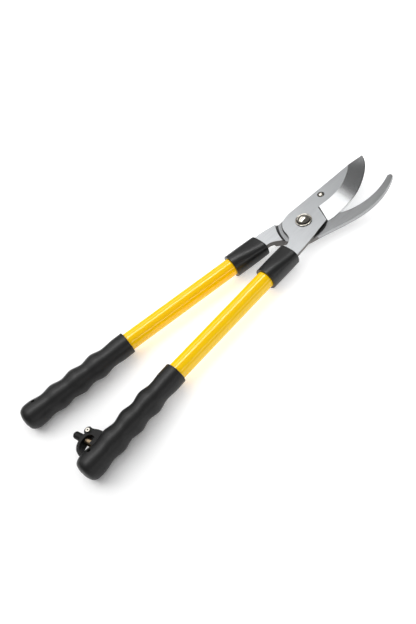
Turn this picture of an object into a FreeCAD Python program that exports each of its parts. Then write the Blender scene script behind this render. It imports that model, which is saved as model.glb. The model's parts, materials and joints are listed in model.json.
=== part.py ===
import FreeCAD, Part
import math
import os

# Long-handled bypass pruning shears (loppers), one STEP file per piece.
#
# Millimetres, +Z up.  The tool lies flat: the pivot axis is vertical, the blade
# points along +X, and the two handles run back along -X, a little spread.
# The hook lever carries the left handle (+Y) and the blade lever the right one.
# Everything is drawn about the pivot axis, with z = 0 in the plane of the handle
# tubes, and moved at the end so that the origin is under the middle of the tool.

V = FreeCAD.Vector

# ---- driving dimensions -------------------------------------------------

# handles: each axis passes the pivot at OFFSET and leans by LEAN
LEFT_LEAN = 5.72            # degrees from the tool's long axis
RIGHT_LEAN = 5.58
LEFT_OFFSET = 13.8          # left handle axis to pivot axis
RIGHT_OFFSET = 22.4
LEFT_JUNCTION = 133.2       # pivot to the collar's tube end, along the axis
RIGHT_JUNCTION = 118.9

# tubes
TUBE_R = 14.0
TUBE_WALL = 1.6
TUBE_IN_COLLAR = 44.0       # the tube reaches this far into the collar
TUBE_SEEN = 194.6           # bare tube between collar and grip
TUBE_IN_GRIP = 148.0
BEND_START = 186.0          # the tubes bend down slightly just before the grips
BEND_SLOPE = 0.030
BEND_RADIUS = 250.0
GRIP_ROLL = 21.0            # the bend leans this far sideways from straight down

# collars
COLLAR_LENGTH = 58.3
COLLAR_R = 18.3
COLLAR_HALF_HEIGHT = 13.0   # at the tang end
LEFT_COLLAR_SLANT = 8.0     # degrees that the tang end is cut back on the inner side
RIGHT_COLLAR_SLANT = 3.0

# grips
GRIP_LENGTH = 185.3
GRIP_BORE_END = 150.0
HANG_HOLE_R = 2.8
HANG_HOLE_AT = 159.5        # from the grip's front edge

# plates, as heights above the handle plane
BLADE_TOP = 4.0
BLADE_BOTTOM = -1.0
EDGE_Z = -0.65              # the cutting edge's flat
HOOK_TOP = -1.3
HOOK_BOTTOM = -8.0
TANG_HALF = 4.0             # the hook's tang is 8 mm thick
TONGUE_HALF_WIDTH = 10.5    # tangs inside the tubes
TONGUE_END = 8.0            # the tangs stop this far inside the collar's tube end
TANG_RIVET_R = 2.5
TANG_RIVET_PLACES = (18.0, 33.0)    # along the tube, from the collar's tube end
LAP_START = -25.0           # in front of this the hook is only as high as HOOK_TOP
SHOULDER_CENTRE = V(30, -19.3, 0)
SHOULDER_R_LOW = 73.4
SHOULDER_R_HIGH = 80.3

# pivot
BOLT_R = 5.0
BUSHING_R = 8.0
FLANGE_R = 13.2
FLANGE_TOP = 5.6
DOME_R = 10.2
DOME_TOP = 12.2
DOME_LOW = 7.4              # the dome's straight side ends here
FRICTION_R = 35.3
FRICTION_FLAT_Y = 29.0
FRICTION_BOTTOM = -2.0
WASHER_R = 11.0
WASHER_T = 1.6
NUT_R = 9.8                 # over the corners
NUT_T = 6.5

# blade rivet
RIVET_AT = V(56, 17, 0)
RIVET_POCKET_R = 5.8
RIVET_POCKET_DEPTH = 0.9
RIVET_SHANK_R = 2.5
RIVET_DOME_R = 4.3
RIVET_DOME_HEIGHT = 2.2     # above the blade's face

# buffer on the right grip: u runs back from the grip's front edge, v outwards
BUFFER_Z = -5.0
BRACKET_HALF_HEIGHT = 9.2
BUFFER_TILT = 10.2
BUFFER_FOOT_U = 147.6       # where the buffer's axis meets the grip side
BUFFER_FOOT_V = 17.5
LUG_U = 139.6
LUG_V = 35.3
LUG_R = 6.4
BRACKET_RIVET_R = 2.4
SLEEVE_R = 5.7
SLEEVE_BORE_R = 4.6
SLEEVE_END = 14.2
CAP_START = 21.6
CAP_END = 37.6
STEM_IN_CAP = 9.0
STEM_R = 3.0
STEM_CLEARANCE = 0.08
CAP_POCKET_R = 6.4          # the cap backs into this pocket when pressed
CAP_POCKET_FLOOR = 18.3
PLUNGER_HEAD = (11.4, 13.2)     # the stem's head, between these heights
PLUNGER_HEAD_R = 4.4
SPRING_R = 3.7
SPRING_WIRE_R = 0.45
SPRING_TURNS = 5.0


# ---- small helpers ------------------------------------------------------

def segment(points):
    """A straight edge through two points, or a smooth one through more."""
    points = [V(*p) for p in points]
    if len(points) == 2:
        return Part.makeLine(points[0], points[1])
    curve = Part.BSplineCurve()
    curve.interpolate(points)
    return curve.toShape()


def arc(a, b, c):
    return Part.Arc(V(*a), V(*b), V(*c)).toShape()


def flat(points, z):
    """The same outline points, lifted to height z."""
    return [(p[0], p[1], z) for p in points]


def plate(edges, thickness):
    """A closed outline of edges, raised straight up by thickness."""
    face = Part.Face(Part.Wire(Part.sortEdges(edges)[0]))
    return face.extrude(V(0, 0, thickness))


def cylinder(radius, z_low, z_high, x=0.0, y=0.0):
    return Part.makeCylinder(radius, z_high - z_low, V(x, y, z_low), V(0, 0, 1))


def turned(profile, axis_point=V(0, 0, 0), axis=V(0, 0, 1)):
    """A solid of revolution of a closed list of edges."""
    face = Part.Face(Part.Wire(Part.sortEdges(profile)[0]))
    return face.revolve(axis_point, axis, 360)


def upright(base, direction):
    """Placement that stands a shape drawn along +Z on base, along direction."""
    return FreeCAD.Placement(base, FreeCAD.Rotation(V(0, 0, 1), direction))


def cap_arc(radius, low, top):
    """Profile of a domed top: part of a ball centred on the axis."""
    height = top - low
    ball = (radius ** 2 + height ** 2) / (2 * height)
    half = math.asin(radius / ball) / 2
    middle = (ball * math.sin(half), 0, top - ball + ball * math.cos(half))
    return arc((radius, 0, low), middle, (0, 0, top))


def polygon(points):
    return Part.makePolygon([V(*p) for p in points] + [V(*points[0])])


# ---- where the handles lie ---------------------------------------------

def handle_frame(side):
    """Placement of a handle: x forwards along its tube from the collar's tube
    end, y across in the tool's plane, z up."""
    lean = math.radians(LEFT_LEAN if side == "left" else RIGHT_LEAN)
    if side == "left":
        angle, offset, junction = -lean, LEFT_OFFSET, LEFT_JUNCTION
        foot = V(offset * math.sin(lean), offset * math.cos(lean), 0)
    else:
        angle, offset, junction = lean, RIGHT_OFFSET, RIGHT_JUNCTION
        foot = V(offset * math.sin(lean), -offset * math.cos(lean), 0)
    along = V(math.cos(angle), math.sin(angle), 0)
    turn = FreeCAD.Rotation(V(0, 0, 1), math.degrees(angle))
    return FreeCAD.Placement(foot - along * junction, turn)


def place(shape, side):
    shape = shape.copy()
    shape.Placement = handle_frame(side).multiply(shape.Placement)
    return shape


def droop_direction():
    """Which way the grip end of a handle bends, in the handle's own frame."""
    roll = math.radians(GRIP_ROLL)
    return V(0, -math.sin(roll), -math.cos(roll))


def grip_axis():
    """Start and direction of the grip's centre line, in the handle's frame."""
    angle = math.atan(BEND_SLOPE)
    down = droop_direction()
    bend = BEND_RADIUS * math.sin(angle)
    drop = BEND_RADIUS * (1 - math.cos(angle))
    direction = V(-math.cos(angle), 0, 0) + down * math.sin(angle)
    end_of_bend = V(-BEND_START - bend, 0, 0) + down * drop
    along = (TUBE_SEEN - BEND_START - bend) / math.cos(angle)
    return end_of_bend + direction * along, direction


# ---- handle pieces, in the handle's own frame ---------------------------

def tube_path():
    """Straight, a short gentle bend, and straight again inside the grip."""
    angle = math.atan(BEND_SLOPE)
    down = droop_direction()
    front = V(TUBE_IN_COLLAR, 0, 0)
    bend = []
    for turn in (0, angle / 2, angle):
        back = BEND_START + BEND_RADIUS * math.sin(turn)
        bend.append(V(-back, 0, 0) + down * BEND_RADIUS * (1 - math.cos(turn)))
    grip_start, direction = grip_axis()
    end = grip_start + direction * TUBE_IN_GRIP
    bend_arc = Part.Arc(*bend).toShape()
    return Part.Wire([Part.makeLine(front, bend[0]), bend_arc, Part.makeLine(bend[-1], end)])


def pipe(radius):
    path = tube_path()
    ring = Part.Wire(Part.makeCircle(radius, V(TUBE_IN_COLLAR, 0, 0), V(-1, 0, 0)))
    return path.makePipeShell([ring], True, False)


def tube():
    return pipe(TUBE_R).cut(pipe(TUBE_R - TUBE_WALL))


def tube_plug():
    """Plastic cap in the tube's end, with a thin rim over the tube."""
    start, direction = grip_axis()
    end = start + direction * TUBE_IN_GRIP
    depth = 10
    body = Part.makeCylinder(TUBE_R - TUBE_WALL, depth, end - direction * depth, direction)
    rim = Part.makeCylinder(TUBE_R, GRIP_BORE_END - TUBE_IN_GRIP, end, direction)
    return body.fuse(rim).removeSplitter()


def grip_blank():
    """The waved outside of the grip, solid, drawn along +X from its front edge."""
    waves = [(0.8, 17.5), (22, 17.3), (41, 16.6), (56, 19.5), (74, 16.6), (92, 19.6),
             (109, 16.8), (126, 19.7), (144, 17.3), (157, 19.0), (168, 19.9)]
    rounded_end = [(168, 19.9), (177, 18.7), (182.3, 15.2), (185, 8.4)]
    wave = Part.BSplineCurve()
    wave.interpolate([V(u, r, 0) for u, r in waves], InitialTangent=V(1, 0, 0), FinalTangent=V(1, 0, 0))
    dome = Part.BSplineCurve()
    dome.interpolate([V(u, r, 0) for u, r in rounded_end + [(GRIP_LENGTH + 0.5, 0)]],
                     InitialTangent=V(1, 0, 0), FinalTangent=V(0, -1, 0))
    edges = [
        segment([(0, 0, 0), (0, 16.7, 0)]),
        segment([(0, 16.7, 0), (0.8, 17.5, 0)]),
        wave.toShape(),
        dome.toShape(),
        segment([(GRIP_LENGTH + 0.5, 0, 0), (0, 0, 0)]),
    ]
    return turned(edges, axis=V(1, 0, 0))


def on_grip_axis(shape):
    """Move a shape drawn along +X onto the grip's centre line."""
    start, direction = grip_axis()
    shape = shape.copy()
    turn = FreeCAD.Rotation(V(1, 0, 0), direction)
    shape.Placement = FreeCAD.Placement(start, turn).multiply(shape.Placement)
    return shape


def hang_hole():
    """The hole tips the same way as the grip's bend."""
    start, direction = grip_axis()
    up = droop_direction() * -1
    centre = start + direction * HANG_HOLE_AT
    return Part.makeCylinder(HANG_HOLE_R, 60, centre - up * 30, up)


def grip():
    solid = on_grip_axis(grip_blank())
    bore = on_grip_axis(Part.makeCylinder(TUBE_R, GRIP_BORE_END + 1, V(-1, 0, 0), V(1, 0, 0)))
    return solid.cut(bore).cut(hang_hole())


def collar_section(x, half_width, half_height, power):
    """A closed curve between a circle (power 2) and a soft rectangle."""
    count = 24
    points = []
    for i in range(count):
        t = 2 * math.pi * i / count
        c, s = math.cos(t), math.sin(t)
        y = half_width * math.copysign(abs(c) ** (2 / power), c)
        z = half_height * math.copysign(abs(s) ** (2 / power), s)
        points.append(V(x, y, z))
    curve = Part.BSplineCurve()
    curve.interpolate(points, PeriodicFlag=True)
    return Part.Wire(curve.toShape())


def collar(slant, tang_tool):
    """Round at the tube end and flattened at the tang end, which is cut at a
    slant.  tang_tool is the tang's shape, which leaves the slot."""
    sections = []
    for i in range(5):
        k = i / 4.0
        blend = k * k * (3 - 2 * k)
        height = COLLAR_R + (COLLAR_HALF_HEIGHT - COLLAR_R) * blend
        sections.append(collar_section(k * (COLLAR_LENGTH + 6), COLLAR_R, height, 2 + 1.0 * blend))
    body = Part.makeLoft(sections, True, False)
    cutter = Part.makeBox(40, 80, 80, V(0, -40, -40))
    cutter.rotate(V(0, 0, 0), V(0, 0, 1), slant)
    cutter.translate(V(COLLAR_LENGTH, 0, 0))
    body = body.cut(cutter)
    ends = [e for e in body.Edges if e.isClosed() and e.BoundBox.XMax > 2]
    body = body.makeFillet(2.2, [e for e in ends if e.CenterOfMass.x > COLLAR_LENGTH / 2])
    tube_end = [e for e in body.Edges if abs(e.CenterOfMass.x) < 0.1 and e.BoundBox.XLength < 0.1]
    body = body.makeFillet(0.8, tube_end)
    socket = Part.makeCylinder(TUBE_R, TUBE_IN_COLLAR + 1, V(-1, 0, 0), V(1, 0, 0))
    return body.cut(socket).cut(tang_tool)


def tongue(half_thickness, centre_z):
    """The narrow end of a tang, inside the tube and its insert."""
    length = COLLAR_LENGTH - TONGUE_END - 4
    size = (length, 2 * TONGUE_HALF_WIDTH, 2 * half_thickness)
    return Part.makeBox(*size, V(TONGUE_END, -TONGUE_HALF_WIDTH, centre_z - half_thickness))


def tang_insert(slot):
    """Plastic plug that fills the tube around the tongue."""
    length = TUBE_IN_COLLAR - TONGUE_END + 4
    plug = Part.makeCylinder(TUBE_R - TUBE_WALL, length, V(TUBE_IN_COLLAR - length, 0, 0), V(1, 0, 0))
    return plug.cut(slot)


def tang_rivets():
    """Two rivets through tube, insert and tang, dressed flush with the tube."""
    skin = Part.makeCylinder(TUBE_R, TUBE_IN_COLLAR, V(0, 0, 0), V(1, 0, 0))
    return [cylinder(TANG_RIVET_R, -20, 20, x=x).common(skin) for x in TANG_RIVET_PLACES]


def drill(shape, tools):
    for tool in tools:
        shape = shape.cut(tool)
    return shape


# ---- plates, about the pivot --------------------------------------------

# the blade's outline, all at one height
BLADE_LOWER = [(-68, -43.0), (-50, -40.6), (-20, -36), (0, -32.2), (21.5, -28)]
BLADE_EDGE = [(21.5, -28), (49, -31), (73, -29), (93, -24.4), (113.5, -15.8), (133.6, -4.2),
              (149, 8), (162.5, 26.6)]
BLADE_SPINE = [(162.5, 26.6), (130, 26.8), (60, 28.3), (0, 30)]
BLADE_BACK = [(0, 30), (-12, 28.7), (-21, 25.5), (-28, 19.5), (-32.5, 12), (-35.5, 2), (-39, -6.5),
              (-45.5, -12.2), (-57, -15.9), (-68, -17.2)]

# the bevel: its upper boundary on the blade's face, and the edge point across it
BEVEL_UPPER = [(33, 1), (50, 0), (65, -0.3), (80, 1.5), (95, 6), (108, 12), (120, 19),
               (131, 27.5), (146, 37)]
BEVEL_EDGE = [(21.5, -28), (45, -31), (66, -30), (84, -27), (102, -20.9), (120, -12.4),
              (138, -1.2), (152, 11.4), (164, 28)]


def bevel_tool():
    """What the grinding wheel takes off the blade, above the sloping bevel."""
    wires = []
    for upper, edge in zip(BEVEL_UPPER, BEVEL_EDGE):
        dx, dy = edge[0] - upper[0], edge[1] - upper[1]
        beyond = 1.25
        far = (upper[0] + dx * beyond, upper[1] + dy * beyond)
        far_z = BLADE_TOP + (EDGE_Z - BLADE_TOP) * beyond
        wires.append(polygon([(*upper, BLADE_TOP), (*upper, 9), (*far, 9), (*far, far_z)]))
    return Part.makeLoft(wires, True, False)


def blade():
    z = BLADE_BOTTOM
    back_end, front_end = BLADE_BACK[-1], BLADE_LOWER[0]
    thickness = BLADE_TOP - BLADE_BOTTOM
    runs = (BLADE_LOWER, BLADE_EDGE, BLADE_SPINE[:2], BLADE_SPINE[1:], BLADE_BACK)
    edges = [segment(flat(run, z)) for run in runs]
    edges.append(segment(flat([back_end, front_end], z)))
    body = plate(edges, thickness)
    body = body.fuse(place(tongue(thickness / 2, BLADE_BOTTOM + thickness / 2), "right"))
    body = body.cut(bevel_tool())
    body = body.cut(cylinder(BUSHING_R, -5, 9))
    body = body.cut(cylinder(RIVET_SHANK_R, -5, 9, RIVET_AT.x, RIVET_AT.y))
    pocket_floor = BLADE_TOP - RIVET_POCKET_DEPTH
    return body.cut(cylinder(RIVET_POCKET_R, pocket_floor, 9, RIVET_AT.x, RIVET_AT.y))


# the hook plate's outline
HOOK_INNER = [(38.2, -12), (43, -26), (49.4, -32.1), (63.5, -39.7), (83.6, -45),
              (103.8, -46.6), (123.9, -44.6), (149, -37.3)]
HOOK_TIP = [(149, -37.3), (154.2, -40.6), (151.8, -46)]
HOOK_OUTER = [(151.8, -46), (134, -53.6), (113.8, -59.1), (93.5, -61.3), (73, -60.4),
              (43.3, -54.1), (3.1, -41.1), (-19, -34.3)]
HOOK_UNDER = [(-19, -34.3), (-32, -23.5), (-39.5, -10.5), (-43.6, -5.8)]
TANG_LOWER = [(-43.6, -5.8), (-50.5, -0.4), (-56.5, 5.3), (-62, 9), (-69, 10.8), (-86, 11.4)]
TANG_UPPER = [(-86, 38.6), (-74, 37.9), (-60, 36.9), (-45, 34.2), (-32, 30.8)]
HOOK_TOP_EDGE = [(-32, 30.8), (-21, 30.4), (-10, 31.4), (0, 32)]
HOOK_ROUND = [(0, 32), (18, 29.2), (31.5, 18.5), (37.6, 4), (38.2, -12)]


def hook_outline(z):
    runs = (HOOK_INNER, HOOK_TIP, HOOK_OUTER, HOOK_UNDER, TANG_LOWER, TANG_UPPER, HOOK_TOP_EDGE, HOOK_ROUND)
    edges = [segment(flat(run, z)) for run in runs]
    edges.append(segment(flat([TANG_LOWER[-1], TANG_UPPER[0]], z)))
    return edges


def cove_tool():
    """Clears the lap face around the pivot, up to a hollow shoulder that is
    part of a wide circle about SHOULDER_CENTRE."""
    z, top = HOOK_TOP, TANG_HALF + 0.5
    edges = [
        segment([(0, 0, z), (SHOULDER_R_LOW, 0, z)]),
        arc((SHOULDER_R_LOW, 0, z), (SHOULDER_R_LOW + 5.0, 0, z + 1.9), (SHOULDER_R_HIGH, 0, top)),
        segment([(SHOULDER_R_HIGH, 0, top), (SHOULDER_R_HIGH, 0, 12)]),
        segment([(SHOULDER_R_HIGH, 0, 12), (0, 0, 12)]),
        segment([(0, 0, 12), (0, 0, z)]),
    ]
    tool = turned(edges)
    tool.translate(SHOULDER_CENTRE)
    return tool


def friction_disc(radius, flat_y, z_low, z_high):
    """A disc with one flat side, so that it stays hidden under the blade's back."""
    disc = cylinder(radius, z_low, z_high)
    return disc.cut(Part.makeBox(200, 40, 40, V(-100, flat_y, -20)))


def hook():
    outline = plate(hook_outline(HOOK_BOTTOM), HOOK_TOP - HOOK_BOTTOM)
    tang = plate(hook_outline(-TANG_HALF), 2 * TANG_HALF)
    tang = tang.cut(Part.makeBox(400, 400, 40, V(LAP_START, -200, -20)))
    tang = tang.cut(cove_tool())
    slope = Part.makeBox(60, 120, 20, V(-60, -60, -20))
    slope.rotate(V(0, 0, 0), V(0, 1, 0), -35)
    slope.translate(V(-51, 20, HOOK_BOTTOM))
    lap = outline.cut(slope).cut(Part.makeBox(60, 120, 20, V(-117, -40, -24)))
    body = lap.fuse(tang)
    body = body.fuse(place(tongue(TANG_HALF, 0), "left"))
    body = body.cut(friction_disc(FRICTION_R + 0.3, FRICTION_FLAT_Y + 0.3, FRICTION_BOTTOM, 3))
    return body.cut(cylinder(BOLT_R, -20, 20))


# ---- pivot pieces -------------------------------------------------------

def friction_washer():
    body = friction_disc(FRICTION_R, FRICTION_FLAT_Y, FRICTION_BOTTOM, BLADE_BOTTOM)
    return body.cut(cylinder(BUSHING_R + 0.2, -5, 5))


def pivot_bushing():
    """Bronze sleeve on the bolt that the blade turns on."""
    tall = cylinder(BUSHING_R - 0.05, FRICTION_BOTTOM, BLADE_TOP)
    return tall.cut(cylinder(BOLT_R, -20, 20))


def pivot_bolt():
    """Flanged bolt with a polished dome head."""
    low = HOOK_BOTTOM - WASHER_T - NUT_T - 1.5
    edges = [
        segment([(0, 0, low), (BOLT_R - 0.8, 0, low)]),
        segment([(BOLT_R - 0.8, 0, low), (BOLT_R, 0, low + 0.8)]),
        segment([(BOLT_R, 0, low + 0.8), (BOLT_R, 0, BLADE_TOP + 0.1)]),
        segment([(BOLT_R, 0, BLADE_TOP + 0.1), (FLANGE_R - 0.5, 0, BLADE_TOP + 0.1)]),
        arc((FLANGE_R - 0.5, 0, BLADE_TOP + 0.1), (FLANGE_R, 0, BLADE_TOP + 0.7),
            (FLANGE_R - 0.6, 0, FLANGE_TOP - 0.4)),
        segment([(FLANGE_R - 0.6, 0, FLANGE_TOP - 0.4), (DOME_R + 0.4, 0, FLANGE_TOP)]),
        segment([(DOME_R + 0.4, 0, FLANGE_TOP), (DOME_R, 0, FLANGE_TOP + 0.6)]),
        segment([(DOME_R, 0, FLANGE_TOP + 0.6), (DOME_R, 0, DOME_LOW)]),
        cap_arc(DOME_R, DOME_LOW, DOME_TOP),
        segment([(0, 0, DOME_TOP), (0, 0, low)]),
    ]
    return turned(edges)


def pivot_washer():
    return cylinder(WASHER_R, HOOK_BOTTOM - WASHER_T, HOOK_BOTTOM).cut(cylinder(BOLT_R + 0.2, -30, 0))


def pivot_nut():
    """Lock nut with a round collar for its nylon ring."""
    top = HOOK_BOTTOM - WASHER_T
    corners = [math.radians(60 * i) for i in range(6)]
    points = [(NUT_R * math.cos(a), NUT_R * math.sin(a), top - NUT_T) for a in corners]
    body = Part.Face(polygon(points)).extrude(V(0, 0, NUT_T))
    cone = Part.makeCone(NUT_R - 1.1, NUT_R + 5.5, 8.0, V(0, 0, top - NUT_T), V(0, 0, 1))
    return body.common(cone).cut(cylinder(BOLT_R, -30, 0))


def blade_rivet():
    z = BLADE_TOP - RIVET_POCKET_DEPTH
    side_top = z + 0.8
    dome_top = BLADE_TOP + RIVET_DOME_HEIGHT
    edges = [
        segment([(0, 0, BLADE_BOTTOM), (RIVET_SHANK_R, 0, BLADE_BOTTOM)]),
        segment([(RIVET_SHANK_R, 0, BLADE_BOTTOM), (RIVET_SHANK_R, 0, z)]),
        segment([(RIVET_SHANK_R, 0, z), (RIVET_DOME_R, 0, z)]),
        segment([(RIVET_DOME_R, 0, z), (RIVET_DOME_R, 0, side_top)]),
        cap_arc(RIVET_DOME_R, side_top, dome_top),
        segment([(0, 0, dome_top), (0, 0, BLADE_BOTTOM)]),
    ]
    body = turned(edges)
    body.translate(RIVET_AT)
    return body


# ---- buffer on the right grip -------------------------------------------

def on_right_grip(u, v, z=0.0):
    """A point beside the right grip: u back from its front edge, v outwards."""
    return (-TUBE_SEEN - u, v, z)


# outer and inner sides of the bracket's loop
LOOP_FRONT = [(126.5, 12), (127.4, 17.2), (130, 25.5), (133.4, 33.2)]
LOOP_BACK = [(145.9, 36.6), (150, 37.4), (156, 36.3), (161.4, 34.1), (166.8, 30.2), (170.8, 24),
             (172.6, 15), (172.8, 8)]
WINDOW = [(169.4, 8), (169.2, 16.2), (165.4, 25.6), (159.7, 30.4), (152.5, 31.8), (146, 31.4), (142, 28.8),
          (140.4, 23.4), (140.3, 8)]


def bracket_blank():
    """The loop without its holes, over its full height."""
    z = BUFFER_Z - BRACKET_HALF_HEIGHT
    height = 2 * BRACKET_HALF_HEIGHT
    lug_front = (LUG_U - 0.94 * LUG_R, LUG_V + 0.34 * LUG_R)
    lug_top = (LUG_U - 0.1 * LUG_R, LUG_V + 0.995 * LUG_R)
    lug_back = (LUG_U + 0.94 * LUG_R, LUG_V + 0.34 * LUG_R)
    outer = [
        segment([on_right_grip(*p, z) for p in LOOP_FRONT + [lug_front]]),
        arc(on_right_grip(*lug_front, z), on_right_grip(*lug_top, z), on_right_grip(*lug_back, z)),
        segment([on_right_grip(*lug_back, z), on_right_grip(*LOOP_BACK[0], z)]),
        segment([on_right_grip(*p, z) for p in LOOP_BACK]),
        segment([on_right_grip(*LOOP_BACK[-1], z), on_right_grip(*LOOP_FRONT[0], z)]),
    ]
    body = plate(outer, height)
    window = [
        segment([on_right_grip(*p, z - 1) for p in WINDOW]),
        segment([on_right_grip(*WINDOW[-1], z - 1), on_right_grip(*WINDOW[0], z - 1)]),
    ]
    body = body.cut(plate(window, height + 2))
    pad = Part.makeBox(11.5, 12, height, V(-TUBE_SEEN - 151, 8, z))
    return body.fuse(pad)


def buffer_axis():
    """Foot and direction of the buffer's axis, in the handle's frame."""
    tilt = math.radians(BUFFER_TILT)
    foot = V(*on_right_grip(BUFFER_FOOT_U, BUFFER_FOOT_V, BUFFER_Z))
    return foot, V(-math.sin(tilt), math.cos(tilt), 0)


def along_buffer(radius, start, end):
    foot, direction = buffer_axis()
    return Part.makeCylinder(radius, end - start, foot + direction * start, direction)


def buffer_bracket():
    """Both halves together, fitted against the grip and bored for the buffer."""
    body = bracket_blank().cut(on_grip_axis(grip_blank()))
    body = body.cut(along_buffer(SLEEVE_R, 0, SLEEVE_END + 0.1))
    body = body.cut(along_buffer(STEM_R + STEM_CLEARANCE, 10, 40))
    body = body.cut(along_buffer(CAP_POCKET_R, CAP_POCKET_FLOOR, 40))
    rivet_hole = cylinder(BRACKET_RIVET_R, -40, 40, *on_right_grip(LUG_U, LUG_V)[:2])
    return body.cut(rivet_hole).removeSplitter()


def bracket_half(top):
    half = Part.makeBox(200, 120, 40, V(-450, -20, BUFFER_Z if top else BUFFER_Z - 40))
    return buffer_bracket().common(half)


def bracket_rivet():
    """Tubular rivet, rolled over at both ends."""
    x, y = on_right_grip(LUG_U, LUG_V)[:2]
    low = BUFFER_Z - BRACKET_HALF_HEIGHT
    high = BUFFER_Z + BRACKET_HALF_HEIGHT
    body = cylinder(BRACKET_RIVET_R, low - 1, high + 2.6, x, y)
    rims = [(3.1, high, high + 3.0), (3.4, low - 1.2, low)]
    for radius, a, b in rims:
        body = body.fuse(cylinder(radius, a, b, x, y))
    return body.cut(cylinder(1.3, -60, 60, x, y)).removeSplitter()


def buffer_sleeve():
    return along_buffer(SLEEVE_R, 0, SLEEVE_END - 0.4).cut(along_buffer(SLEEVE_BORE_R, -1, SLEEVE_END + 1))


def buffer_plunger():
    """Steel stem with a head that keeps it behind the bracket's wall."""
    stem = along_buffer(STEM_R, PLUNGER_HEAD[0], CAP_START + STEM_IN_CAP)
    return stem.fuse(along_buffer(PLUNGER_HEAD_R, *PLUNGER_HEAD)).removeSplitter()


def buffer_cap():
    """Black rubber cap, slightly tapered, with a rounded end."""
    foot, direction = buffer_axis()
    length = CAP_END - CAP_START
    edges = [
        segment([(0, 0, 0), (6.0, 0, 0)]),
        segment([(6.0, 0, 0), (5.5, 0, length - 3.6)]),
        arc((5.5, 0, length - 3.6), (4.5, 0, length - 1.1), (2.2, 0, length)),
        segment([(2.2, 0, length), (0, 0, length)]),
        segment([(0, 0, length), (0, 0, 0)]),
    ]
    body = turned(edges)
    body.Placement = upright(foot + direction * CAP_START, direction)
    return body.cut(along_buffer(STEM_R, 0, CAP_START + STEM_IN_CAP))


def buffer_spring():
    """Coil between the sleeve's foot and the plunger's head."""
    start, end = 1.0, PLUNGER_HEAD[0] - 0.6
    pitch = (end - start) / SPRING_TURNS
    helix = Part.makeHelix(pitch, end - start, SPRING_R)
    wire = Part.Wire(Part.makeCircle(SPRING_WIRE_R, V(SPRING_R, 0, 0), V(0, 1, 0)))
    coil = Part.Wire(helix).makePipeShell([wire], True, True)
    foot, direction = buffer_axis()
    coil.Placement = upright(foot + direction * start, direction)
    return coil


# ---- the whole tool -----------------------------------------------------

def build():
    nodes = {}
    nodes["blade"] = blade()
    nodes["hook"] = hook()
    nodes["friction_washer"] = friction_washer()
    nodes["pivot_bushing"] = pivot_bushing()
    nodes["pivot_bolt"] = pivot_bolt()
    nodes["pivot_washer"] = pivot_washer()
    nodes["pivot_nut"] = pivot_nut()
    nodes["blade_rivet"] = blade_rivet()

    lever = {"left": "hook", "right": "blade"}
    slant = {"left": LEFT_COLLAR_SLANT, "right": -RIGHT_COLLAR_SLANT}
    for side in ("left", "right"):
        rivets = [place(r, side) for r in tang_rivets()]
        plate_here = nodes[lever[side]].copy()
        to_handle = handle_frame(side).inverse()
        plate_here.Placement = to_handle.multiply(plate_here.Placement)
        nodes[lever[side]] = drill(nodes[lever[side]], rivets)
        nodes[side + "_collar"] = place(collar(slant[side], plate_here), side)
        nodes[side + "_tube"] = drill(place(tube(), side), rivets)
        nodes[side + "_tang_insert"] = drill(place(tang_insert(plate_here), side), rivets)
        nodes[side + "_tang_rivets"] = Part.makeCompound(rivets)
        nodes[side + "_tube_plug"] = place(tube_plug(), side)
        nodes[side + "_grip"] = place(grip(), side)

    nodes["buffer_bracket_top"] = place(bracket_half(True), "right")
    nodes["buffer_bracket_bottom"] = place(bracket_half(False), "right")
    nodes["bracket_rivet"] = place(bracket_rivet(), "right")
    nodes["buffer_sleeve"] = place(buffer_sleeve(), "right")
    nodes["buffer_plunger"] = place(buffer_plunger(), "right")
    nodes["buffer_cap"] = place(buffer_cap(), "right")
    nodes["buffer_spring"] = place(buffer_spring(), "right")
    return nodes


def origin_shift(nodes):
    """Moves the middle of the tool's underside to the origin."""
    box = FreeCAD.BoundBox()
    for shape in nodes.values():
        box.add(shape.optimalBoundingBox(False))
    return V(-box.Center.x, -box.Center.y, -box.ZMin)


NODES = build()
SHIFT = origin_shift(NODES)
os.makedirs("parts", exist_ok=True)
for name, shape in NODES.items():
    shape.translate(SHIFT)
    shape.exportStep("parts/" + name + ".step")
print("pivot axis at", tuple(round(c, 3) for c in SHIFT), "with", len(NODES), "pieces")
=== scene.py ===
import json
import math

import bmesh
import bpy
from mathutils import Matrix, Vector


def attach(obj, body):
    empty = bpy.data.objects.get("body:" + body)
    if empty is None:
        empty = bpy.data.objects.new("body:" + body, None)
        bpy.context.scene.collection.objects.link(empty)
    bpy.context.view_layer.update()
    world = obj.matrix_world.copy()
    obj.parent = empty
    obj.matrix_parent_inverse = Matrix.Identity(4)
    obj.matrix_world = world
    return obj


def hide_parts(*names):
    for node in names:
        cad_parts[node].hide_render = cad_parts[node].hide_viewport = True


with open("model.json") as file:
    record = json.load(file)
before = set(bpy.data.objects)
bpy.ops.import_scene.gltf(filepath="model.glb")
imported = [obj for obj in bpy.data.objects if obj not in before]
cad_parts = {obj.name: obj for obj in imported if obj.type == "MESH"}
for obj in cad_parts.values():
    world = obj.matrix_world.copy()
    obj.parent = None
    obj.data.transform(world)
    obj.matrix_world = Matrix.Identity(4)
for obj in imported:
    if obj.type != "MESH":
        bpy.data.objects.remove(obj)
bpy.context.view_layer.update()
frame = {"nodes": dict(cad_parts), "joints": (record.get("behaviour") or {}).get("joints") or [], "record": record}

# Long-handled bypass pruning shears: steel blade and hook, yellow tube handles,
# black moulded collars and grips, and a sprung buffer on the right-hand grip.
# Blender works in metres; sizes below are in millimetres and go through MM.

MM = 0.001

# ---- places taken from the frame ----------------------------------------

joints = {joint["name"]: joint for joint in frame["joints"]}
PIVOT = Vector(joints["pivot"]["pos_m"])

HOOK_LEVER = "hook_lever"
BLADE_LEVER = "blade_lever"

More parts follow.
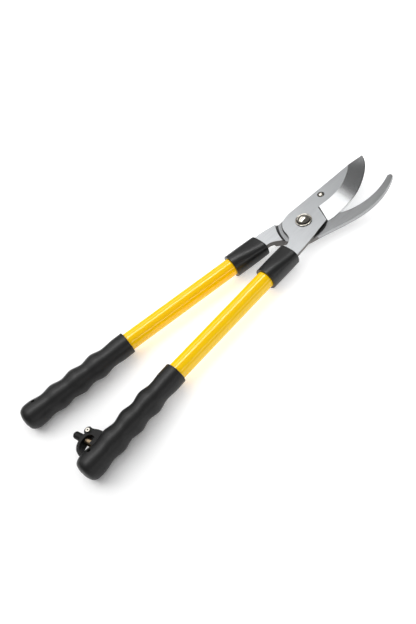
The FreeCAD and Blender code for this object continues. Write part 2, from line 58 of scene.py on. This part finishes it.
RIVET_FROM_PIVOT = Vector((56.0, 17.0, 0.0))
HEEL_ACROSS = Vector((0.9295, -0.3686, 0.0))    # square to the heel of the bevel
HEEL_FROM_PIVOT = 30.3
HEEL_SHADE_FADE = (1.8, 2.9)      # the painted shade line at the heel fades out between these, past the heel
EDGE_DARK_FROM, EDGE_DARK_DEEP = -0.62, 0.26            # height from the pivot over which the bevel's colour darkens towards the cutting edge
RIVET_POCKET_R, RIVET_POCKET_TOP = 6.2, 3.9
STEP_TALL = 1.5             # a wall lower than this is a step, or is left sharp
TUBE_R, TUBE_BORE_R = 14.0, 12.4
TUBE_BEND_R, TUBE_BEND_ANGLE = 250.0, math.atan(0.030)
TUBE_IN_GRIP = 148.0
# for each tube, from the pivot: front end, start of the bend, start of the grip, way the grip points
TUBE_LINES = {
    "left": ((-87.3805, 22.6216, 0), (-316.2352, 45.545, 0), (-324.7976, 46.3503, -0.1359),
             (-0.995644, 0.08893, -0.027995)),
    "right": ((-72.367, -29.5768, 0), (-301.2771, -51.941, 0), (-309.8313, -52.8291, -0.1359),
              (-0.993769, -0.107887, -0.027995)),
}
TANG_END = -20.0            # the hook's bright tang ends here, from the pivot


# ---- colours and material nodes -----------------------------------------

def colour(hex_code):
    """sRGB hex to the linear colour that the shader works in."""
    channels = [int(hex_code[i:i + 2], 16) / 255 for i in (1, 3, 5)]
    linear = [c / 12.92 if c <= 0.04045 else ((c + 0.055) / 1.055) ** 2.4 for c in channels]
    return (*linear, 1.0)


def add(material, kind, settings=(), links=()):
    """Adds one node: its settings by name, and links from (node, output) to its inputs."""
    tree = material.node_tree
    node = tree.nodes.new(kind)
    for name, value in dict(settings).items():
        if name in node.inputs:
            node.inputs[name].default_value = value
        else:
            setattr(node, name, value)
    for name, (source, output) in dict(links).items():
        tree.links.new(source.outputs[output], node.inputs[name])
    return node


def finish_of(name, base, **shader_settings):
    """A new material with its shader, its colour and the object's own coordinates."""
    material = bpy.data.materials.new(name)
    material.use_nodes = True
    shader = material.node_tree.nodes["Principled BSDF"]
    shader.inputs["Base Color"].default_value = colour(base)
    for key, value in shader_settings.items():
        shader.inputs[key.replace("_", " ")].default_value = value
    place = add(material, "ShaderNodeTexCoord")
    return material, shader, place


def per_mm(size):
    """Texture scale, per metre, of a pattern whose features are this many millimetres."""
    return 1.0 / (size * MM)


def connect(material, source, output, shader, socket):
    material.node_tree.links.new(source.outputs[output], shader.inputs[socket])


# ---- materials ----------------------------------------------------------

def brushed_steel(name, base):
    """Hardened carbon steel plate, belt-brushed along the tool: fine straight lines
    that break up the reflections."""
    m, shader, place = finish_of(name, base, Metallic=1.0, Roughness=0.34)
    lines = add(m, "ShaderNodeMapping", {"Scale": (1.0, 45.0, 45.0)}, {"Vector": (place, "Object")})
    grain = add(m, "ShaderNodeTexNoise", {"Scale": per_mm(36), "Detail": 4.0, "Roughness": 0.65},
                {"Vector": (lines, "Vector")})
    rough = add(m, "ShaderNodeMapRange", {"To Min": 0.26, "To Max": 0.43}, {"Value": (grain, "Fac")})
    shade = add(m, "ShaderNodeHueSaturation", {"Color": colour(base)})
    value = add(m, "ShaderNodeMapRange", {"From Min": 0.3, "From Max": 0.7, "To Min": 0.84, "To Max": 1.1},
                {"Value": (grain, "Fac")})
    connect(m, value, "Result", shade, "Value")
    connect(m, shade, "Color", shader, "Base Color")
    bump = add(m, "ShaderNodeBump", {"Strength": 0.10, "Distance": 0.05 * MM}, {"Height": (grain, "Fac")})
    connect(m, rough, "Result", shader, "Roughness")
    connect(m, bump, "Normal", shader, "Normal")
    return m


def ground_edge_steel():
    """The wide bevel, ground and polished: almost a mirror. A dark line of painted
    shade runs along the heel, and the colour darkens towards the cutting edge."""
    m, shader, place = finish_of("ground_edge_steel", "#D4D5D6", Metallic=1.0, Roughness=0.16)
    grain = add(m, "ShaderNodeTexNoise", {"Scale": per_mm(0.6), "Detail": 2.0}, {"Vector": (place, "Object")})
    rough = add(m, "ShaderNodeMapRange", {"To Min": 0.13, "To Max": 0.19}, {"Value": (grain, "Fac")})
    connect(m, rough, "Result", shader, "Roughness")
    # painted shade: a dark line along the heel of the bevel
    across = add(m, "ShaderNodeVectorMath", {"operation": "DOT_PRODUCT"}, {"Vector": (place, "Object")})
    across.inputs[1].default_value = HEEL_ACROSS
    start = HEEL_ACROSS.dot(PIVOT) + HEEL_FROM_PIVOT * MM
    heel = add(m, "ShaderNodeMapRange", {"From Min": start + HEEL_SHADE_FADE[0] * MM,
                                         "From Max": start + HEEL_SHADE_FADE[1] * MM,
                                         "To Min": 0.04, "To Max": 1.0}, {"Value": (across, "Value")})
    # darker towards the cutting edge, over its lowest quarter millimetre
    split = add(m, "ShaderNodeSeparateXYZ", {}, {"Vector": (place, "Object")})
    low = PIVOT.z + EDGE_DARK_FROM * MM
    darker_to_edge = add(m, "ShaderNodeMapRange", {"From Min": low, "From Max": low + EDGE_DARK_DEEP * MM,
                                          "To Min": 0.3, "To Max": 1.0}, {"Value": (split, "Z")})
    both = add(m, "ShaderNodeMath", {"operation": "MULTIPLY"})
    m.node_tree.links.new(heel.outputs["Result"], both.inputs[0])
    m.node_tree.links.new(darker_to_edge.outputs["Result"], both.inputs[1])
    shade = add(m, "ShaderNodeHueSaturation", {"Color": colour("#D4D5D6")}, {"Value": (both, "Value")})
    connect(m, shade, "Color", shader, "Base Color")
    return m


def plain_finish(name, base, roughness, metallic=0.0, grain_mm=0.5, bump_mm=0.02, **more):
    """A finish with a fine surface grain in its roughness and its height."""
    m, shader, place = finish_of(name, base, Metallic=metallic, Roughness=roughness, **more)
    grain = add(m, "ShaderNodeTexNoise", {"Scale": per_mm(grain_mm), "Detail": 3.0},
                {"Vector": (place, "Object")})
    rough = add(m, "ShaderNodeMapRange", {"To Min": roughness * 0.85, "To Max": roughness * 1.15},
                {"Value": (grain, "Fac")})
    bump = add(m, "ShaderNodeBump", {"Strength": 0.4, "Distance": bump_mm * MM}, {"Height": (grain, "Fac")})
    connect(m, rough, "Result", shader, "Roughness")
    connect(m, bump, "Normal", shader, "Normal")
    return m


def yellow_lacquer():
    """Glossy stoved lacquer on the steel tubes; the clear top coat gives crisp lines."""
    m, shader, place = finish_of("yellow_lacquer", "#FFCC00", Roughness=0.5, Specular_IOR_Level=0.0,
                                 Coat_Weight=1.0, Coat_Roughness=0.06)
    # colour coat under the clear coat: slightly uneven, waves about 25 mm apart
    wave = add(m, "ShaderNodeTexNoise", {"Scale": per_mm(25), "Detail": 1.0}, {"Vector": (place, "Object")})
    rough = add(m, "ShaderNodeMapRange", {"To Min": 0.45, "To Max": 0.55}, {"Value": (wave, "Fac")})
    connect(m, rough, "Result", shader, "Roughness")
    return m


BLADE_STEEL = brushed_steel("brushed_blade_steel", "#CBCDCF")
# the hook's darker steel: partly the forging's own duller tone, partly painted shade on the step
HOOK_STEEL_AND_SHADE = brushed_steel("hook_steel_and_painted_shade", "#A4A5A6")
# the sawn or stamped edge of the plate: dull, greyer than the brushed face, and darker still as painted shade on
# the upright walls
CUT_EDGE_STEEL_AND_SHADE = plain_finish("cut_edge_steel_and_painted_shade", "#747270", 0.45, 1.0)
# painted shade: nearly black steel laid into recesses, grooves and low walls where shade falls
SHADE_BLACK_STEEL = plain_finish("nearly_black_painted_shade", "#45423F", 0.5, 1.0)
EDGE_STEEL = ground_edge_steel()
# polished nickel plate: a warm mirror with a faint waviness
NICKEL = plain_finish("nickel_plate", "#D6D1C6", 0.1, 1.0, 3.0, 0.01)

# zinc: dull blue-grey plate; bronze: warm and matt; nylon: moulded, slight sheen;
# rubber: moulded, softer sheen than the nylon
FINISHES = {
    "satin_steel": BLADE_STEEL,
    "forged_steel": HOOK_STEEL_AND_SHADE,
    "nickel_plate": NICKEL,
    "zinc_plate": plain_finish("zinc_plate", "#B9BAB6", 0.35, 1.0),
    "bronze": plain_finish("bronze", "#B08A4E", 0.4, 1.0),
    "yellow_paint": yellow_lacquer(),
    "black_plastic": plain_finish("black_moulded_nylon", "#191919", 0.36, 0.0, 0.4, 0.01,
                                   Specular_IOR_Level=0.45),
    "black_nylon": plain_finish("black_nylon_disc", "#141414", 0.5, 0.0),
    "black_rubber": plain_finish("black_grip_rubber", "#171717", 0.43, 0.0, 0.5, 0.01,
                                  Specular_IOR_Level=0.36),
}

# finishes of single pieces: matt glass-filled nylon, made darker as painted shade for the inside of the loop, and
# nickel plate toned darker and browner
BRACKET_NYLON_AND_SHADE = plain_finish("black_bracket_nylon_and_shade", "#0E0E0E", 0.5, Specular_IOR_Level=0.25)
OWN_FINISHES = {
    "buffer_bracket_top": BRACKET_NYLON_AND_SHADE,
    "buffer_bracket_bottom": BRACKET_NYLON_AND_SHADE,
    "buffer_cap": BRACKET_NYLON_AND_SHADE,
    # nickel plate toned darker and browner than the polished plate
    "buffer_sleeve": plain_finish("darker_brown_nickel_plate", "#96846C", 0.3, 1.0),
}

SLOTS = {part["node"]: part["material_slot"] for part in frame["record"]["subparts"]}
for node, piece in frame["nodes"].items():
    piece.data.materials.clear()
    piece.data.materials.append(OWN_FINISHES.get(node, FINISHES[SLOTS[node]]))


# ---- making pieces ------------------------------------------------------

def make_piece(name, bm, body, node, materials, sharp_over=35):
    """Turns a finished bmesh into a piece that stands for a CAD node."""
    for face in bm.faces:
        face.smooth = True
    for edge in bm.edges:
        if len(edge.link_faces) != 2:
            continue
        finishes_meet = len({face.material_index for face in edge.link_faces}) > 1
        if edge.calc_face_angle(0) > math.radians(sharp_over) or finishes_meet:
            edge.smooth = False
    mesh = bpy.data.meshes.new(name)
    bm.to_mesh(mesh)
    bm.free()
    for material in materials:
        mesh.materials.append(material)
    piece = bpy.data.objects.new(name, mesh)
    bpy.context.scene.collection.objects.link(piece)
    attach(piece, body)
    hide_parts(node)
    return piece


def merged_copy(node):
    """The node's own surface, closed up, with its flat faces made whole again."""
    bm = bmesh.new()
    bm.from_mesh(frame["nodes"][node].data)
    bmesh.ops.remove_doubles(bm, verts=bm.verts, dist=0.001 * MM)
    bmesh.ops.dissolve_limit(bm, angle_limit=math.radians(0.4), verts=bm.verts, edges=bm.edges)
    return bm


def wall_height(face):
    """How tall an upright face is; nothing for a face that lies flat or slopes."""
    if abs(face.normal.z) > 0.3:
        return 0.0
    heights = [v.co.z for v in face.verts]
    return max(heights) - min(heights)


def break_edges(bm, width, tall):
    """Takes the sharpness off every long corner between a tall wall and a flat face."""
    corners = []
    for edge in bm.edges:
        if len(edge.link_faces) != 2 or edge.calc_face_angle(0) < math.radians(30):
            continue
        if abs(edge.verts[0].co.z - edge.verts[1].co.z) > 0.5 * MM:
            continue
        if max(wall_height(face) for face in edge.link_faces) > tall * MM:
            corners.append(edge)
    bmesh.ops.bevel(bm, geom=corners, offset=width * MM, offset_type="OFFSET", segments=2, profile=0.5,
                    affect="EDGES", clamp_overlap=True, material=-1)


def slope_of(face):
    """Degrees between a face and the level."""
    return math.degrees(math.acos(max(-1.0, min(1.0, face.normal.z))))


def cutting_blade():
    """Bright flat, polished bevel, duller cut edges darkened further as painted shade, and nearly black painted
    shade in the rivet pocket, on the notch, the heel and the low steps.
    """
    bm = merged_copy("blade")
    break_edges(bm, 0.6, STEP_TALL)
    for face in bm.faces:
        spot = (face.calc_center_median() - PIVOT) / MM
        slope = slope_of(face)
        off_rivet = (spot - RIVET_FROM_PIVOT).to_2d().length
        # painted shade: the rivet's pocket is coloured nearly black
        if off_rivet < RIVET_POCKET_R and spot.z < RIVET_POCKET_TOP:
            face.material_index = 3
        elif 4 < slope < 16 and face.calc_area() > 3 * MM * MM:
            face.material_index = 1
        # upright walls: nearly black painted shade on the notch, the heel and the low steps; the rest get the
        # darker cut-edge steel
        elif slope > 75 and wall_height(face) > 0.5 * MM:
            step = wall_height(face) < STEP_TALL * MM
            notch = spot.x < -15 and spot.y > -8
            heel = -12 < spot.x < 40 and spot.y < -15
            face.material_index = 3 if step or notch or heel else 2
    piece = make_piece("cutting_blade", bm, BLADE_LEVER, "blade",
                       [BLADE_STEEL, EDGE_STEEL, CUT_EDGE_STEEL_AND_SHADE, SHADE_BLACK_STEEL])
    piece.modifiers.new("flat_faces_stay_flat", "WEIGHTED_NORMAL").keep_sharp = True


def counter_hook():
    """Bright tang; darker steel from the step onwards, partly the forging's own duller tone and partly painted
    shade; bright rounded outside.
    """
    bm = merged_copy("hook")
    break_edges(bm, 0.7, STEP_TALL)
    for face in bm.faces:
        spot = (face.calc_center_median() - PIVOT) / MM
        slope = slope_of(face)
        # upright walls: cut-edge steel, partly painted shade, on the tang; hook steel on the jaw
        if slope > 60:
            face.material_index = 2 if spot.x < -10 else 1
        # painted shade on the step's slopes; past the tang, partly the forging's own duller tone
        elif slope > 20 or spot.x > TANG_END:
            face.material_index = 1
    piece = make_piece("counter_hook", bm, HOOK_LEVER, "hook", [BLADE_STEEL, HOOK_STEEL_AND_SHADE, CUT_EDGE_STEEL_AND_SHADE])
    piece.modifiers.new("flat_faces_stay_flat", "WEIGHTED_NORMAL").keep_sharp = True


def turned_piece(name, profile, centre, body, node, materials, steps=96):
    """A lathe-turned piece about an upright axis: profile is (radius, height) in mm."""
    bm = bmesh.new()
    points = [bm.verts.new((r * MM, 0, z * MM)) for r, z in profile]
    edges = [bm.edges.new(pair) for pair in zip(points, points[1:])]
    bmesh.ops.spin(bm, geom=points + edges, cent=(0, 0, 0), axis=(0, 0, 1), dvec=(0, 0, 0),
                   angle=2 * math.pi, steps=steps, use_merge=True, use_duplicate=False)
    bmesh.ops.remove_doubles(bm, verts=bm.verts, dist=0.001 * MM)
    bmesh.ops.recalc_face_normals(bm, faces=bm.faces)
    bmesh.ops.translate(bm, verts=bm.verts, vec=centre)
    return make_piece(name, bm, body, node, materials)


def rounded(centre, radius, start, end, count):
    """Points on an arc of a profile, angles in degrees from straight outwards."""
    angles = [math.radians(start + (end - start) * i / count) for i in range(count + 1)]
    return [(centre[0] + radius * math.cos(a), centre[1] + radius * math.sin(a)) for a in angles]


def bolt_head():
    """Polished dome in a rounded flange, with a groove between the two; the groove and the flange's lower flank
    are painted dark as shade.
    """
    low, groove_floor = -17.6, 4.9
    flange = rounded((12.0, 5.0), 1.1, -60, 165, 14)
    dome_r, side, dome_top = 9.9, 7.6, 12.15
    ball = (dome_r ** 2 + (dome_top - side) ** 2) / (2 * (dome_top - side))
    start = math.degrees(math.asin((side - dome_top + ball) / ball))
    dome = rounded((0, dome_top - ball), ball, start, 90, 20)
    profile = [(0, low), (4.2, low), (5.0, low + 0.8), (5.0, 4.1), (12.2, 4.1)] + flange
    profile += [(10.8, groove_floor), (9.4, groove_floor), (9.4, 6.4), (9.75, 7.0)] + dome
    profile[-1] = (0, dome_top)
    piece = turned_piece("bolt_head", profile, PIVOT, HOOK_LEVER, "pivot_bolt", [NICKEL, SHADE_BLACK_STEEL])
    for face in piece.data.polygons:
        spot = (face.center - PIVOT) / MM
        across = spot.to_2d().length
        # painted shade: the groove round the dome and the flange's outer under-edge are coloured nearly black
        groove = 9.2 < across < 11.0 and spot.z < 6.6
        under = across > 12.6 and spot.z < 5.5
        if groove or under:
            face.material_index = 1


def blade_rivet():
    """Small polished dome, nearly a half ball, standing in its pocket."""
    shank, low, pocket, dome_r, top = 2.5, -1.0, 3.1, 4.3, 6.2
    dome = [(dome_r * math.cos(a), pocket + 0.4 + (top - pocket - 0.4) * math.sin(a))
            for a in [math.radians(90 * i / 16) for i in range(17)]]
    profile = [(0, low), (shank, low), (shank, pocket), (dome_r, pocket)] + dome
    profile[-1] = (0, top)
    turned_piece("rivet_dome", profile, PIVOT + RIVET_FROM_PIVOT * MM, BLADE_LEVER, "blade_rivet", [NICKEL])


def smooth_piece(name, body, node, material):
    """The node's own surface, merged and smoothly shaded; sharp only at real corners."""
    bm = bmesh.new()
    bm.from_mesh(frame["nodes"][node].data)
    bmesh.ops.remove_doubles(bm, verts=bm.verts, dist=0.001 * MM)
    bmesh.ops.recalc_face_normals(bm, faces=bm.faces)
    piece = make_piece(name, bm, body, node, [material])
    piece.modifiers.new("even_shading", "WEIGHTED_NORMAL").keep_sharp = True
    return piece


def ring_place(centre, ahead, radius):
    """Sets a circle of radius 1 square to the way the tube runs. Sizes in mm."""
    side = ahead.cross(Vector((0, 0, 1))).normalized()
    turn = Matrix((side, side.cross(ahead), -ahead)).transposed().to_4x4()
    return Matrix.Translation(centre * MM) @ turn @ Matrix.Diagonal((radius * MM, radius * MM, 1, 1))


def tube_surface(side, body, count=96):
    """Drawn tube: straight, a gentle bend just before the grip, and straight again."""
    front, bend_start, grip_start, into_grip = [Vector(v) for v in TUBE_LINES[side]]
    ahead = (bend_start - front).normalized()
    down = (into_grip - ahead * ahead.dot(into_grip)).normalized()
    stations = [(front, ahead)]
    for step in range(9):
        turn = TUBE_BEND_ANGLE * step / 8
        centre = bend_start + (ahead * math.sin(turn) + down * (1 - math.cos(turn))) * TUBE_BEND_R
        stations.append((centre, ahead * math.cos(turn) + down * math.sin(turn)))
    stations.append((grip_start + into_grip * TUBE_IN_GRIP, into_grip))
    # out along the outside, back through the bore, and onto the first circle again
    places = [ring_place(*station, TUBE_R) for station in stations]
    places += [ring_place(*station, TUBE_BORE_R) for station in reversed(stations)]
    places.append(places[0])
    bm = bmesh.new()
    bmesh.ops.create_circle(bm, segments=count, radius=1.0, matrix=places[0])
    ring = list(bm.edges)
    for here, there in zip(places, places[1:]):
        grown = bmesh.ops.extrude_edge_only(bm, edges=ring)["geom"]
        ring = [item for item in grown if isinstance(item, bmesh.types.BMEdge)]
        moved = [item for item in grown if isinstance(item, bmesh.types.BMVert)]
        bmesh.ops.transform(bm, matrix=there @ here.inverted(), verts=moved)
    bmesh.ops.remove_doubles(bm, verts=bm.verts, dist=0.01 * MM)
    bmesh.ops.recalc_face_normals(bm, faces=bm.faces)
    bmesh.ops.translate(bm, verts=bm.verts, vec=PIVOT)
    make_piece(f"{side}_tube_surface", bm, body, f"{side}_tube", [FINISHES["yellow_paint"]])


def handles():
    """Lacquered tubes, moulded collars and rubber grips of both levers."""
    for side, body in (("left", HOOK_LEVER), ("right", BLADE_LEVER)):
        tube_surface(side, body)
        for part, slot in (("collar", "black_plastic"), ("grip", "black_rubber")):
            smooth_piece(f"{side}_{part}_surface", body, f"{side}_{part}", FINISHES[slot])


# ---- camera, floor and lights -------------------------------------------

CAMERA_AT = Vector((-294.45, -626.9, 820.16)) * MM
CAMERA_RIGHT = Vector((0.7306, -0.6317, -0.2587))
CAMERA_UP = Vector((0.6367, 0.4939, 0.5920))
CAMERA_LENS = 40.95
CAMERA_SENSOR = 36.0        # along the long side
FLOOR_HALF = 6.0
GLOW_ALONG, GLOW = (-0.26, -0.08), (0.05, 0.45)     # metres along the tool, and glow there
ROOM_LIGHT = 0.14


def camera():
    data = bpy.data.cameras.new("camera")
    data.lens = CAMERA_LENS
    data.sensor_width = CAMERA_SENSOR
    data.dof.use_dof = False
    shot = bpy.data.objects.new("camera", data)
    back = CAMERA_RIGHT.cross(CAMERA_UP).normalized()
    turn = Matrix((CAMERA_RIGHT.normalized(), back.cross(CAMERA_RIGHT).normalized(), back)).transposed()
    shot.matrix_world = Matrix.Translation(CAMERA_AT) @ turn.to_4x4()
    bpy.context.scene.collection.objects.link(shot)
    bpy.context.scene.camera = shot


def floor():
    """White table with a faint glow of its own towards the head, which keeps shadows light."""
    sheet = bmesh.new()
    bmesh.ops.create_grid(sheet, x_segments=1, y_segments=1, size=FLOOR_HALF)
    mesh = bpy.data.meshes.new("floor")
    sheet.to_mesh(mesh)
    sheet.free()
    piece = bpy.data.objects.new("floor", mesh)
    m, shader, place = finish_of("white_table", "#F4F4F4", Roughness=0.9)
    split = add(m, "ShaderNodeSeparateXYZ", {}, {"Vector": (place, "Object")})
    glow = add(m, "ShaderNodeMapRange", {"interpolation_type": "SMOOTHSTEP",
                                         "From Min": GLOW_ALONG[0], "From Max": GLOW_ALONG[1],
                                         "To Min": GLOW[0], "To Max": GLOW[1]}, {"Value": (split, "X")})
    shader.inputs["Emission Color"].default_value = (1, 1, 1, 1)
    connect(m, glow, "Result", shader, "Emission Strength")
    m.cycles.emission_sampling = "NONE"
    mesh.materials.append(m)
    bpy.context.scene.collection.objects.link(piece)


PANELS = [
    # name, centre, width and depth, strength, faces, lights surfaces, seen in reflections
    ("overhead_strip", (-0.03, 0.31, 1.6), (2.54, 0.85), 1.5, (-0.03, 0.0, 0.0), True, True),
    ("key_near", (-0.2, 1.45, 1.5), (2.6, 0.8), 1.6, (0.0, 0.0, 0.0), True, True),
    ("key_far", (1.85, 1.45, 1.5), (1.4, 0.8), 0.3, (0.0, 0.0, 0.0), True, True),
    ("low_front_strip", (0.0, -1.8, 0.8), (3.4, 0.28), 3.0, (0.0, 0.0, 0.0), False, True),
    ("tube_line", (0.0, 0.31, 1.55), (1.9, 0.24), 9.0, (0.0, 0.0, 0.0), False, True),
    ("soft_key", (-1.2, 1.9, 2.2), (2.4, 2.0), 3.2, (0.0, 0.0, 0.0), True, False),
    ("front_fill", (-0.2, -1.3, 2.0), (3.0, 2.4), 1.25, (0.0, 0.0, 0.0), True, False),
]


def softbox(name, at, size, radiance, target, diffuse, glossy):
    """A flat panel of even light that faces the tool. Size in metres."""
    data = bpy.data.lights.new(name, "AREA")
    data.shape = "RECTANGLE"
    data.size, data.size_y = size
    data.energy = radiance * math.pi * size[0] * size[1]
    lamp = bpy.data.objects.new(name, data)
    lamp.location = at
    facing = (Vector(target) - Vector(at)).normalized()
    side = Vector((1, 0, 0)) - facing * facing.x
    side.normalize()
    turn = Matrix((side, (-facing).cross(side), -facing)).transposed()
    lamp.matrix_world = Matrix.Translation(at) @ turn.to_4x4()
    lamp.visible_camera = False
    lamp.visible_diffuse = diffuse
    lamp.visible_glossy = glossy
    bpy.context.scene.collection.objects.link(lamp)


def studio():
    world = bpy.data.worlds.new("studio")
    world.use_nodes = True
    world.node_tree.nodes["Background"].inputs["Color"].default_value = (1, 1, 1, 1)
    world.node_tree.nodes["Background"].inputs["Strength"].default_value = ROOM_LIGHT
    bpy.context.scene.world = world
    for panel in PANELS:
        softbox(*panel)
    bpy.context.scene.view_settings.view_transform = "Standard"


cutting_blade()
counter_hook()
bolt_head()
blade_rivet()
handles()
camera()
floor()
studio()
